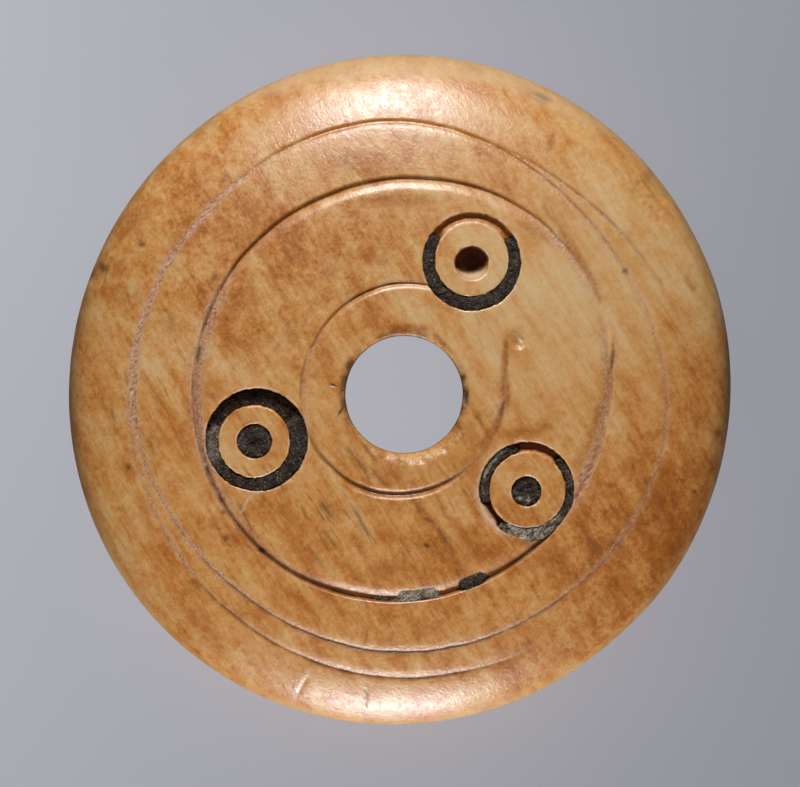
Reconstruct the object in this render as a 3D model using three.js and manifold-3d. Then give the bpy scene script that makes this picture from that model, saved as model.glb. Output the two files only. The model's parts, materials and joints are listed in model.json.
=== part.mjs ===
// A bone spindle whorl: a disc with a domed top and a flat underside, pierced for a wooden
// spindle. The dome carries four turned grooves and three drilled ring-and-dot motifs. Dark
// paste was rubbed into the motifs and into one groove, and each lump of it that survives is
// a piece of its own. Millimetres, +Z up. The origin is the middle of the flat underside.
import * as THREE from "three";
import { mergeVertices } from "three/addons/utils/BufferGeometryUtils.js";
import Module from "manifold-3d";

const wasm = await Module();
wasm.setup();

// The disc. A wave is [how many crests round the disc, swell, direction of the first crest in
// degrees], and is added to a radius: hand turning left nothing quite round.
const DISC_RADIUS = 17.0;
const DISC_WAVES = [[2, 0.18, 64]];
const HEIGHT = 7.6;
const DOME_RISE = 5.0;
const FOOT_INSET = 1.3; // the edge curves in under the disc by this much
const FOOT_RISE = 1.8; // and over this height

// The spindle hole, a little off the middle of the disc.
const HOLE_X = 0.268;
const HOLE_Y = -0.251;
const HOLE_RADIUS = 3.01;
const HOLE_WEAR = 0.3; // both mouths are worn to a chamfer of this size

// The turned grooves. A section is listed across the groove, from the lip nearer the spindle
// to the outer one: [outwards from the groove's line, down from the dome's surface].
const GROOVES = [
  {
    radius: 5.28,
    waves: [[1, 0.21, 5], [2, 0.17, 64]],
    section: [[-0.28, 0], [0, 0.2], [0.22, 0]],
    wornAway: [],
  },
  {
    radius: 10.71,
    waves: [[1, 0.19, 15], [2, 0.23, 53]],
    section: [[-0.6, 0], [-0.3, 0.14], [0, 0.34], [0.16, 0]],
    wornAway: [],
  },
  {
    radius: 13.44,
    waves: [[2, 0.24, -38], [3, 0.14, -27], [4, 0.17, -3]],
    section: [[-0.34, 0], [0, 0.15], [0.12, 0]],
    wornAway: [],
  },
  {
    radius: 14.22,
    waves: [[1, 0.85, -50], [2, 0.3, -26], [3, 0.23, -10], [4, 0.14, 0]],
    section: [[-0.3, 0], [0, 0.13], [0.12, 0]],
    wornAway: [[-60, 5]], // degrees: no groove is left along this stretch
  },
];
const MIDDLE_GROOVE = GROOVES[1];
const FADE = 12; // degrees over which a groove runs out beside a worn stretch

// The ring-and-dot motifs. x and y place the middle of the ring's outer wall. The disc of bone
// inside the ring and the central dot sit a little off it, by dx and dy. Each lump of paste in
// the ring runs anticlockwise between two directions in degrees.
const MOTIFS = [
  {
    name: "upper",
    x: 3.714,
    y: 6.52,
    ringRadius: 2.53,
    core: { dx: 0, dy: 0.1, radius: 1.87 },
    dot: { dx: 0, dy: -0.08, radius: 0.87 },
    ringPaste: [["ring_fill_upper", 144, 392]],
    dotPaste: null,
  },
  {
    name: "left",
    x: -7.248,
    y: -2.551,
    ringRadius: 2.64,
    core: { dx: -0.13, dy: -0.1, radius: 1.81 },
    dot: { dx: -0.1, dy: -0.08, radius: 0.89 },
    ringPaste: [["ring_fill_left", 0, 360]],
    dotPaste: "dot_fill_left",
  },
  {
    name: "right",
    x: 6.499,
    y: -5.081,
    ringRadius: 2.45,
    core: { dx: 0.05, dy: -0.05, radius: 1.92 },
    dot: { dx: 0, dy: -0.1, radius: 0.77 },
    ringPaste: [["ring_fill_right_short", 101, 200], ["ring_fill_right_long", 230, 407]],
    dotPaste: "dot_fill_right",
  },
];
const RING_DEPTH = 0.9;
const DOT_DEPTH = 1.6;
const DOT_TAPER = 0.25; // a dot is narrower by this much at its floor

// The paste. It has shrunk clear of the bone and sunk below the surface.
const SHRINKAGE = 0.05;
const SUNK = 0.2;
const GROOVE_PASTE = [["groove_fill_grey", 262.5, 282], ["groove_fill_black", 286.5, 295.5]];
const GROOVE_PASTE_SECTION = [[-0.36, 0.05], [-0.25, 0.11], [-0.02, 0.27], [0.08, 0.05]];

const ROUND_SEGMENTS = 64;
const SMALL_SEGMENTS = 28;
const ARC_STEPS = 10; // points along a rounded stretch of the disc's profile
const CLEAR = 0.6; // how far a cutter reaches past the surface that it cuts

const bone = new THREE.MeshStandardMaterial({ color: 0xc6925a, roughness: 0.42, metalness: 0 });
const blackPaste = new THREE.MeshStandardMaterial({ color: 0x241c18, roughness: 0.85, metalness: 0 });
const greyPaste = new THREE.MeshStandardMaterial({ color: 0x6c655c, roughness: 0.9, metalness: 0 });

const radians = THREE.MathUtils.degToRad;

function waveSum(waves, angle) {
  return waves.reduce((sum, [count, swell, crest]) => {
    return sum + swell * Math.cos(count * (angle - radians(crest)));
  }, 0);
}

function discRadius(angle) {
  return DISC_RADIUS + waveSum(DISC_WAVES, angle);
}

// The height of the undecorated dome, which is a flattened quarter ellipse in section.
function domeHeight(radius, angle) {
  const share = Math.min(1, radius / discRadius(angle));
  return HEIGHT - DOME_RISE * (1 - Math.sqrt(1 - share * share));
}

// How much of its full depth a groove has in one direction: 0 along a worn stretch, rising to
// 1 beside it.
function depthShare(groove, angle) {
  let share = 1;
  for (const [from, to] of groove.wornAway) {
    const middle = radians((from + to) / 2);
    const turn = Math.abs(Math.atan2(Math.sin(angle - middle), Math.cos(angle - middle)));
    const beyond = THREE.MathUtils.radToDeg(turn) - (to - from) / 2;
    share = Math.min(share, THREE.MathUtils.clamp(beyond / FADE, 0, 1));
  }
  return share;
}

// A geometry as a manifold-3d solid.
function solidOf(geometry) {
  const bare = geometry.clone();
  bare.deleteAttribute("normal");
  bare.deleteAttribute("uv");
  const merged = mergeVertices(bare, 1e-5);
  const corners = merged.index.array;
  const faces = [];
  for (let i = 0; i < corners.length; i += 3) {
    const [a, b, c] = corners.slice(i, i + 3);
    if (a !== b && b !== c && c !== a) faces.push(a, b, c);
  }
  return new wasm.Manifold(
    new wasm.Mesh({
      numProp: 3,
      vertProperties: merged.attributes.position.array,
      triVerts: new Uint32Array(faces),
    }),
  );
}

// A manifold-3d solid as a geometry, with flat faces.
function geometryOf(solid) {
  const mesh = solid.getMesh();
  const geometry = new THREE.BufferGeometry();
  geometry.setAttribute("position", new THREE.BufferAttribute(mesh.vertProperties, 3));
  geometry.setIndex(new THREE.BufferAttribute(mesh.triVerts, 1));
  const faceted = geometry.toNonIndexed();
  faceted.computeVertexNormals();
  return faceted;
}

function moveVertices(geometry, move) {
  const position = geometry.getAttribute("position");
  const point = new THREE.Vector3();
  for (let i = 0; i < position.count; i++) {
    point.fromBufferAttribute(position, i);
    move(point);
    position.setXYZ(i, point.x, point.y, point.z);
  }
  return geometry;
}

// A lathed geometry whose axis is +Z. The profile's points are (radius, height), upwards.
function lathed(profile, segments) {
  return new THREE.LatheGeometry(profile, segments).rotateX(Math.PI / 2);
}

// The solid disc before it is pierced: a flat foot, an edge that curves in under it, and the
// dome. Its outline swells with the waves of the disc.
function plainDisc() {
  const profile = [new THREE.Vector2(0, 0)];
  for (let step = 0; step <= ARC_STEPS / 2; step++) {
    const turn = (step / (ARC_STEPS / 2)) * (Math.PI / 2);
    const radius = DISC_RADIUS - FOOT_INSET * (1 - Math.sin(turn));
    profile.push(new THREE.Vector2(radius, FOOT_RISE * (1 - Math.cos(turn))));
  }
  for (let step = 0; step < ARC_STEPS; step++) {
    const turn = (step / ARC_STEPS) * (Math.PI / 2);
    const height = HEIGHT - DOME_RISE * (1 - Math.sin(turn));
    profile.push(new THREE.Vector2(DISC_RADIUS * Math.cos(turn), height));
  }
  profile.push(new THREE.Vector2(0, HEIGHT));
  return moveVertices(lathed(profile, ROUND_SEGMENTS), (point) => {
    const stretch = discRadius(Math.atan2(point.y, point.x)) / DISC_RADIUS;
    point.x *= stretch;
    point.y *= stretch;
  });
}

// The cutter for the spindle hole, flared at both mouths.
function holeCutter() {
  const flare = HOLE_RADIUS + HOLE_WEAR + CLEAR;
  const profile = [
    new THREE.Vector2(0, -CLEAR),
    new THREE.Vector2(flare, -CLEAR),
    new THREE.Vector2(HOLE_RADIUS, HOLE_WEAR),
    new THREE.Vector2(HOLE_RADIUS, HEIGHT - HOLE_WEAR),
    new THREE.Vector2(flare, HEIGHT + CLEAR),
    new THREE.Vector2(0, HEIGHT + CLEAR),
  ];
  return lathed(profile, ROUND_SEGMENTS).translate(HOLE_X, HOLE_Y, 0);
}

// The cutter for a groove, bent to follow its line round the dome.
function grooveCutter(groove) {
  const { section } = groove;
  const first = section[0];
  const last = section[section.length - 1];
  const deepest = Math.max(...section.map(([, down]) => down));
  const outline = [
    ...section,
    [last[0] + 0.1, -CLEAR],
    [first[0] - 0.3, -CLEAR],
    first,
  ];
  const profile = outline.map(([across, down]) => {
    return new THREE.Vector2(groove.radius + across, -down);
  });
  return moveVertices(lathed(profile, ROUND_SEGMENTS), (point) => {
    const angle = Math.atan2(point.y, point.x);
    const radius = Math.hypot(point.x, point.y) + waveSum(groove.waves, angle);
    const lift = deepest * 1.3 * (1 - depthShare(groove, angle));
    point.set(
      radius * Math.cos(angle),
      radius * Math.sin(angle),
      point.z + domeHeight(radius, angle) + lift,
    );
  });
}

// Paste lying in a groove between two directions in degrees.
function groovePaste(groove, section, from, to) {
  const outline = section.map(([across, down]) => new THREE.Vector2(across, -down));
  const steps = Math.ceil((to - from) / 2.5);
  const bar = new THREE.ExtrudeGeometry(new THREE.Shape(outline), {
    depth: 1,
    steps,
    bevelEnabled: false,
  });
  return moveVertices(bar, (point) => {
    const angle = radians(to - point.z * (to - from));
    const radius = groove.radius + waveSum(groove.waves, angle) + point.x;
    point.set(
      radius * Math.cos(angle),
      radius * Math.sin(angle),
      point.y + domeHeight(radius, angle),
    );
  });
}

// A round peg along +Z between two heights.
function peg(topRadius, bottomRadius, bottom, top, dx = 0, dy = 0) {
  const shape = new THREE.CylinderGeometry(topRadius, bottomRadius, top - bottom, SMALL_SEGMENTS);
  return shape.rotateX(Math.PI / 2).translate(dx, dy, (top + bottom) / 2);
}

// A motif's own frame: its origin on the dome, its +Z square to the dome there.
function motifFrame({ x, y }) {
  const step = 0.01;
  const height = (px, py) => domeHeight(Math.hypot(px, py), Math.atan2(py, px));
  const slopeX = (height(x + step, y) - height(x - step, y)) / (2 * step);
  const slopeY = (height(x, y + step) - height(x, y - step)) / (2 * step);
  const frame = new THREE.Group();
  frame.position.set(x, y, height(x, y));
  frame.quaternion.setFromUnitVectors(
    new THREE.Vector3(0, 0, 1),
    new THREE.Vector3(-slopeX, -slopeY, 1).normalize(),
  );
  frame.updateMatrix();
  return frame;
}

// What the drill took out for one motif: a ring round a core of bone, and the dot in it.
function motifCutters(motif) {
  const { ringRadius, core, dot } = motif;
  const { matrix } = motifFrame(motif);
  const ring = peg(ringRadius, ringRadius, -RING_DEPTH, CLEAR);
  const left = peg(core.radius, core.radius, -RING_DEPTH - CLEAR, 2 * CLEAR, core.dx, core.dy);
  const wide = dot.radius + (DOT_TAPER * CLEAR) / DOT_DEPTH;
  const hole = peg(wide, dot.radius - DOT_TAPER, -DOT_DEPTH, CLEAR, dot.dx, dot.dy);
  const channel = solidOf(ring.applyMatrix4(matrix)).subtract(solidOf(left.applyMatrix4(matrix)));
  return [channel, solidOf(hole.applyMatrix4(matrix))];
}

// The paste in a ring, in the motif's frame. A full turn is one closed ring.
function ringPaste({ ringRadius, core }, from, to) {
  const outer = ringRadius - SHRINKAGE;
  const inner = core.radius + SHRINKAGE;
  const shape = new THREE.Shape();
  if (to - from >= 360) {
    const middle = new THREE.Path();
    shape.absarc(0, 0, outer, 0, 2 * Math.PI, false);
    middle.absarc(core.dx, core.dy, inner, 0, 2 * Math.PI, true);
    shape.holes.push(middle);
  } else {
    shape.absarc(0, 0, outer, radians(from), radians(to), false);
    shape.absarc(core.dx, core.dy, inner, radians(to), radians(from), true);
    shape.closePath();
  }
  return new THREE.ExtrudeGeometry(shape, {
    depth: RING_DEPTH - SHRINKAGE - SUNK,
    curveSegments: SMALL_SEGMENTS / 2,
    bevelEnabled: false,
  }).translate(0, 0, -RING_DEPTH + SHRINKAGE);
}

// The paste in a dot, in the motif's frame.
function dotPaste({ dot }) {
  const top = dot.radius - SHRINKAGE - (DOT_TAPER * SUNK) / DOT_DEPTH;
  const bottom = dot.radius - SHRINKAGE - DOT_TAPER;
  return peg(top, bottom, -DOT_DEPTH + SHRINKAGE, -SUNK, dot.dx, dot.dy);
}

function addMesh(parent, name, geometry, material) {
  const mesh = new THREE.Mesh(geometry, material);
  mesh.name = name;
  parent.add(mesh);
}

const whorl = new THREE.Group();

let disc = solidOf(plainDisc()).subtract(solidOf(holeCutter()));
for (const groove of GROOVES) disc = disc.subtract(solidOf(grooveCutter(groove)));
for (const motif of MOTIFS) {
  for (const cutter of motifCutters(motif)) disc = disc.subtract(cutter);
}
addMesh(whorl, "whorl", geometryOf(disc), bone);

for (const motif of MOTIFS) {
  const frame = motifFrame(motif);
  for (const [name, from, to] of motif.ringPaste) {
    addMesh(frame, name, ringPaste(motif, from, to), blackPaste);
  }
  if (motif.dotPaste) addMesh(frame, motif.dotPaste, dotPaste(motif), blackPaste);
  whorl.add(frame);
}

for (const [name, from, to] of GROOVE_PASTE) {
  const material = name === "groove_fill_grey" ? greyPaste : blackPaste;
  addMesh(whorl, name, groovePaste(MIDDLE_GROOVE, GROOVE_PASTE_SECTION, from, to), material);
}

export default whorl;
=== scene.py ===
"""A bone spindle whorl seen from straight above: the disc with its turned grooves and drilled
ring-and-dot motifs, and the dark paste that is left in them.

Shapes are worked out here in millimetres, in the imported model's frame, and go into Blender in
metres. The top of the disc is one height field over a fine triangulation, so every groove,
channel, pit and worn lip is real relief. Angles named in degrees run anticlockwise from +X."""
import json
import math

import bpy
import numpy as np
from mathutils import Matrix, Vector, kdtree
from mathutils.geometry import delaunay_2d_cdt

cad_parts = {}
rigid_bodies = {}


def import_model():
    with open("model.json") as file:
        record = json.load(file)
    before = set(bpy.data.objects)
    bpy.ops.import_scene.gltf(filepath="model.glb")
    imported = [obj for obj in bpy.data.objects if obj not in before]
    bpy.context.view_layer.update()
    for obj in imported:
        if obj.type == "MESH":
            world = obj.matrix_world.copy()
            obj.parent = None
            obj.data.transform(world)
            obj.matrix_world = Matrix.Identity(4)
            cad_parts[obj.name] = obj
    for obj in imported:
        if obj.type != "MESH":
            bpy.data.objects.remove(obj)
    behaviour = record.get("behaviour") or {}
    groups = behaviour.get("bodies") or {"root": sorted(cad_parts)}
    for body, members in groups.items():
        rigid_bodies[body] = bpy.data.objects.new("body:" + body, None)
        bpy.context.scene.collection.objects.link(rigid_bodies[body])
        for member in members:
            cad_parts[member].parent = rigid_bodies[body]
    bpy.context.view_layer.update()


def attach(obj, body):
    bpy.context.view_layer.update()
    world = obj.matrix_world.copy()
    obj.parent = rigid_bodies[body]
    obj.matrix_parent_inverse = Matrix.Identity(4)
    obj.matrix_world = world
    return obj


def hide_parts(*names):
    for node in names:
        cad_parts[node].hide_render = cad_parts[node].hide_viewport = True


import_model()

MM = 0.001

# The disc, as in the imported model: a dome over a side that curves in to a flat foot.
DISC_RADIUS = 17.0
DISC_WAVES = [(2, 0.18, 64)]
RIGHT_BULGE = 0.1  # the outline's small swelling at the right
HEIGHT = 7.6
DOME_RISE = 5.0
FOOT_INSET = 1.3
FOOT_RISE = 1.8
HOLE = np.array([0.268, -0.251])
HOLE_RADIUS = 3.01

# Turned grooves. The inner slope is wide and rounded, and the outer wall is steep. "look" gives,
# by direction in degrees, the share of the depth that is left, how dusty and torn the groove is,
# and how dark the line along its bottom is. "spread" is how wide the dust lies.
GROOVES = {
    "inner": dict(radius=5.28, waves=[(1, 0.21, 5), (2, 0.17, 64)],
                  inner=0.3, outer=0.16, depth=0.19, slot=0.07, spread=0.25, burr=0.055,
                  look={
            0: (0.25, 0.2, 0.35), 18: (0.2, 0.1, 0.2), 40: (0.2, 0.05, 0.05), 75: (0.6, 0.05, 0.4),
            92: (0.8, 0.05, 0.5), 120: (0.7, 0.2, 0.5), 150: (0.6, 0.4, 0.45), 180: (0.5, 0.4, 0.5),
            205: (0.6, 0.2, 0.6), 235: (0.9, 0.1, 0.7), 252: (1.4, 0, 0.75), 286: (1.4, 0, 0.75),
            300: (0.8, 0.3, 0.7), 309: (0.3, 0.2, 0.25), 322: (0.12, 0.1, 0.1), 338: (0.15, 0.1, 0.15),
            350: (0.3, 0.65, 0.4)}),
    "middle": dict(radius=10.71, waves=[(1, 0.19, 15), (2, 0.23, 53), (3, 0.052, 36), (4, 0.052, -44)],
                   inner=0.56, outer=0.17, depth=0.26, slot=0.12, spread=0.4, burr=0.02,
                  look={
            5: (0.9, 0.6, 0.45), 14: (0.4, 0.3, 0.15), 22: (0.1, 0.05, 0), 30: (0.3, 0.35, 0.1),
            42: (0.45, 0.6, 0.1), 55: (0.6, 0.3, 0.25), 70: (0.7, 0.1, 0.45), 92: (0.7, 0.05, 0.55),
            115: (0.8, 0.1, 0.65), 140: (0.9, 0.4, 0.75), 158: (1, 0.9, 0.6), 178: (1.1, 0.9, 0.7),
            197: (1, 0.9, 0.5), 215: (0.9, 0.5, 0.6), 240: (0.9, 0.2, 0.7), 258: (1.2, 0, 0.9),
            298: (1.1, 0.05, 0.9), 312: (0.9, 0.3, 0.7), 335: (0.6, 0.8, 0.2), 352: (0.8, 0.6, 0.4)}),
    "outer": dict(radius=13.44, waves=[(2, 0.237, -38), (3, 0.138, -27), (4, 0.17, -3)],
                  inner=0.34, outer=0.14, depth=0.11, slot=0.05, spread=0.21, burr=0.0,
                  look={
            20: (0.4, 0.3, 0.1), 42: (0.6, 0.55, 0.3), 58: (0.8, 0.5, 0.5), 72: (0.7, 0.1, 0.5),
            105: (0.7, 0.15, 0.55), 120: (0.6, 0.5, 0.4), 135: (0.6, 0.9, 0.15), 155: (0.6, 1, 0.1),
            182: (0.7, 1, 0.1), 200: (0.8, 0.6, 0.3), 222: (0.9, 0.7, 0.45), 242: (0.9, 0.3, 0.6),
            256: (1.1, 0.6, 0.5), 280: (1, 0.7, 0.5), 295: (0.8, 0.5, 0.45), 330: (0.6, 0.5, 0.35),
            352: (0.45, 0.45, 0.15)}),
    "stray": dict(radius=14.22, waves=[(1, 0.846, -50), (2, 0.296, -26), (3, 0.232, -10), (4, 0.142, 0)],
                  inner=0.26, outer=0.13, depth=0.09, slot=0.04, spread=0.18, burr=0.0,
                  look={
            5: (0, 0, 0), 15: (0.4, 0.2, 0.1), 40: (0.8, 0.5, 0.3), 56: (0.8, 0.5, 0.4),
            70: (0.3, 0.1, 0.1), 140: (0.2, 0.3, 0.05), 180: (0.5, 0.6, 0.1), 200: (0.7, 0.5, 0.2),
            218: (0.8, 0.6, 0.35), 226: (0.8, 0.3, 0.6), 246: (0.9, 0.3, 0.6), 258: (1.1, 0.55, 0.5),
            282: (1, 0.6, 0.3), 292: (0.6, 0.5, 0.1), 302: (0, 0, 0)}),
}

# Ring-and-dot motifs: the middle and radius of the ring's outer wall, of the core of bone inside
# it, and of the dot. Each lump of paste runs anticlockwise between two directions.
MOTIFS = {
    "upper": dict(ring=(3.714, 6.520, 2.53), core=(3.714, 6.622, 1.87), dot=(3.714, 6.443, 0.87)),
    "left": dict(ring=(-7.248, -2.551, 2.64), core=(-7.376, -2.653, 1.81), dot=(-7.350, -2.628, 0.89)),
    "right": dict(ring=(6.499, -5.081, 2.45), core=(6.550, -5.132, 1.92), dot=(6.499, -5.183, 0.77)),
}
RING_DEPTH = 0.9
DOT_DEPTH = 1.6
WALL = 0.1  # how far a drilled wall leans in over its depth
OVERLAP = 0.02  # how far paste reaches into the bone round it

# Where the fine top ends and the plain side begins, as a share of the disc's radius
TOP_EDGE = 0.955
RIM_POINTS = 660
MOUTH_POINTS = 200
DOT_POINTS = 90
FIELD_SPACING = 0.2
MOTIF_SPACING = 0.09
MARK_SPACING = 0.08
UNDERSIDE_SPACING = 0.42
# The hole's wall in rings, and the (step outward, height) of each ring of its lower edge
WALL_RINGS, WALL_FOOT = 26, 0.28
HOLE_FOOT = ((0.03, 0.2), (0.08, 0.12), (0.15, 0.05), (0.25, 0.01), (0.36, 0.0))


# ---------------------------------------------------------------- shapes in numbers

def wave_sum(waves, angle):
    return sum(swell * np.cos(count * (angle - math.radians(crest))) for count, swell, crest in waves)


def smooth(share):
    share = np.clip(share, 0, 1)
    return share * share * (3 - 2 * share)


def noise(x, y, size, seed):
    """Smooth noise from -1 to 1 with bumps about size across."""
    table = np.random.default_rng(seed).uniform(-1, 1, (128, 128))
    turn = 0.6 + seed
    u = (x * math.cos(turn) - y * math.sin(turn)) / size + 57.3
    v = (x * math.sin(turn) + y * math.cos(turn)) / size + 31.7
    i, j = np.floor(u).astype(int), np.floor(v).astype(int)
    a, b = smooth(u - i), smooth(v - j)
    near = table[i & 127, j & 127] * (1 - a) + table[(i + 1) & 127, j & 127] * a
    far = table[i & 127, (j + 1) & 127] * (1 - a) + table[(i + 1) & 127, (j + 1) & 127] * a
    return near * (1 - b) + far * b


def layered_noise(x, y, size, seed, layers=3):
    total = sum(noise(x, y, size / 2**k, seed + k) / 2**k for k in range(layers))
    return total / (2 - 2 ** (1 - layers))


def disc_radius(angle):
    return DISC_RADIUS + wave_sum(DISC_WAVES, angle) + RIGHT_BULGE * between(angle, 326, 376, 14)


def dome(radius, angle):
    share = np.clip(radius / disc_radius(angle), 0, 1)
    return HEIGHT - DOME_RISE * (1 - np.sqrt(1 - share * share))


def between(angle, start, stop, fade):
    """1 where the angle lies between start and stop, falling to 0 over fade, all in degrees."""
    middle = math.radians((start + stop) / 2)
    turn = np.degrees(np.abs(np.angle(np.exp(1j * (angle - middle)))))
    return smooth(((stop - start) / 2 + fade - turn) / fade)


def groove_radius(groove, angle):
    wobble = 0.03 * noise(groove["radius"] * np.cos(angle), groove["radius"] * np.sin(angle), 1.3, 11)
    return groove["radius"] + wave_sum(groove["waves"], angle) + wobble


def groove_look(groove, angle):
    """The shares of depth, dust and dark line at these directions."""
    turns = sorted(groove["look"])
    table = np.array([groove["look"][turn] for turn in turns])
    degrees = np.degrees(angle) % 360
    return [np.interp(degrees, turns, column, period=360) for column in table.T]


def groove_depth(name, radius, angle):
    """How deep a groove cuts at a point (its burr stands up), and its share of the full depth."""
    groove = GROOVES[name]
    across = radius - groove_radius(groove, angle)
    inner = groove["inner"] * (1 + 0.35 * between(angle, 240, 300, 30))
    rise = np.clip(1 + across / inner, 0, 1)
    slope = 0.35 * smooth(rise) + 0.65 * rise ** 1.5
    outer = groove["outer"] * (1 + 0.9 * (name == "inner") * between(angle, 245, 292, 20))
    wall = 1 - smooth(np.clip(across / outer, 0, 1))
    share = np.where(across < 0, slope, wall)
    left, dust, line = groove_look(groove, angle)
    x, y = radius * np.cos(angle), radius * np.sin(angle)
    full = groove["depth"] * left * (1 + 0.2 * noise(x, y, 1.7, 23))
    torn = 0.02 * dust * (noise(x, y, 0.28, 29) + 0.6 * noise(x, y, 0.14, 43)) * (share > 0.02)
    burr = groove["burr"] * left * smooth(1 - np.abs(across - groove["outer"] - 0.14) / 0.16)
    slot = groove["slot"] * line * smooth(1.15 - np.abs(across + 0.04) / 0.12)
    return share * full + slot + torn * share ** 0.5 - burr, share


def local(circle, x, y):
    """Distance and direction of points from a circle's middle."""
    return np.hypot(x - circle[0], y - circle[1]), np.arctan2(y - circle[1], x - circle[0])


def ring_depth(name, x, y):
    """The channel of a motif's ring: its depth at a point and that as a share of the full one."""
    motif = MOTIFS[name]
    outside, turn = local(motif["ring"], x, y)
    inside, _ = local(motif["core"], x, y)
    ragged = 0.012 * noise(x, y, 0.35, 31) + 0.026 * noise(x, y, 0.14, 37)
    lean = WALL + 0 * turn
    bevel = WALL + 0 * turn
    depth = RING_DEPTH + 0 * turn
    if name == "upper":
        bevel = bevel + 0.3 * between(turn, 48, 128, 18)
        lean = lean + 0.1 * between(turn, 40, 136, 12)
        depth = depth - 0.42 * between(turn, 33, 143, 6)
    if name == "right":
        lean = lean + 0.35 * between(turn, 203, 226, 8) + 0.06 * between(turn, 110, 200, 20)
        bevel = bevel + 0.16 * between(turn, 50, 98, 14)
        depth = depth - 0.4 * between(turn, 49, 99, 5)
    outer = np.clip((motif["ring"][2] + ragged - outside) / lean, 0, 1)
    inner = np.clip((inside - motif["core"][2] - ragged) / bevel, 0, 1)
    share = smooth(np.minimum(outer, inner))
    return share * depth, share


def dot_depth(name, x, y):
    """The drilled dot of a motif: the share of its full depth at a point. The open one leans,
    so its lower wall shows."""
    dot = MOTIFS[name]["dot"]
    away, turn = local(dot, x, y)
    ragged = 0.02 * noise(x, y, 0.14, 41)
    lean = WALL + 0 * turn
    if name == "upper":
        lean = lean + 0.62 * np.clip(-np.sin(turn - 0.25), 0, 1) ** 0.6
    return np.clip((dot[2] + ragged - away) / lean, 0, 1) ** 0.85


# Small damage: (x, y, length, width, direction in degrees, depth)
MARKS = {
    "pit": (6.04, 2.58, 0.5, 0.38, 112, 0.17),
    "rim nick": (7.35, 14.95, 0.6, 0.16, -26, 0.14),
    "rim notch": (-15.75, 5.95, 0.4, 0.25, 65, 0.16),
    "rim dent": (12.9, 9.6, 1.8, 0.7, -52, 0.1),
    "upper rim dent": (-9.9, 12.7, 1.6, 0.5, 38, 0.08),
    "hole chip left": (-3.31, 0.21, 0.24, 0.06, -20, 0.08),
    "hole chip lower left": (-2.97, -1.14, 0.26, 0.07, 62, 0.1),
    "hole chip right": (3.45, -0.35, 0.42, 0.1, 75, 0.12),
    "scratch bright": (-4.95, -15.15, 1.0, 0.07, 62, 0.03),
    "scratch dark": (-1.7, -15.9, 1.1, 0.06, 84, 0.04),
    "scratch pale": (-7.76, -5.8, 0.75, 0.05, 57, 0.02),
    "speck": (-7.0, -8.2, 0.2, 0.13, -35, 0.1),
}

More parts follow.
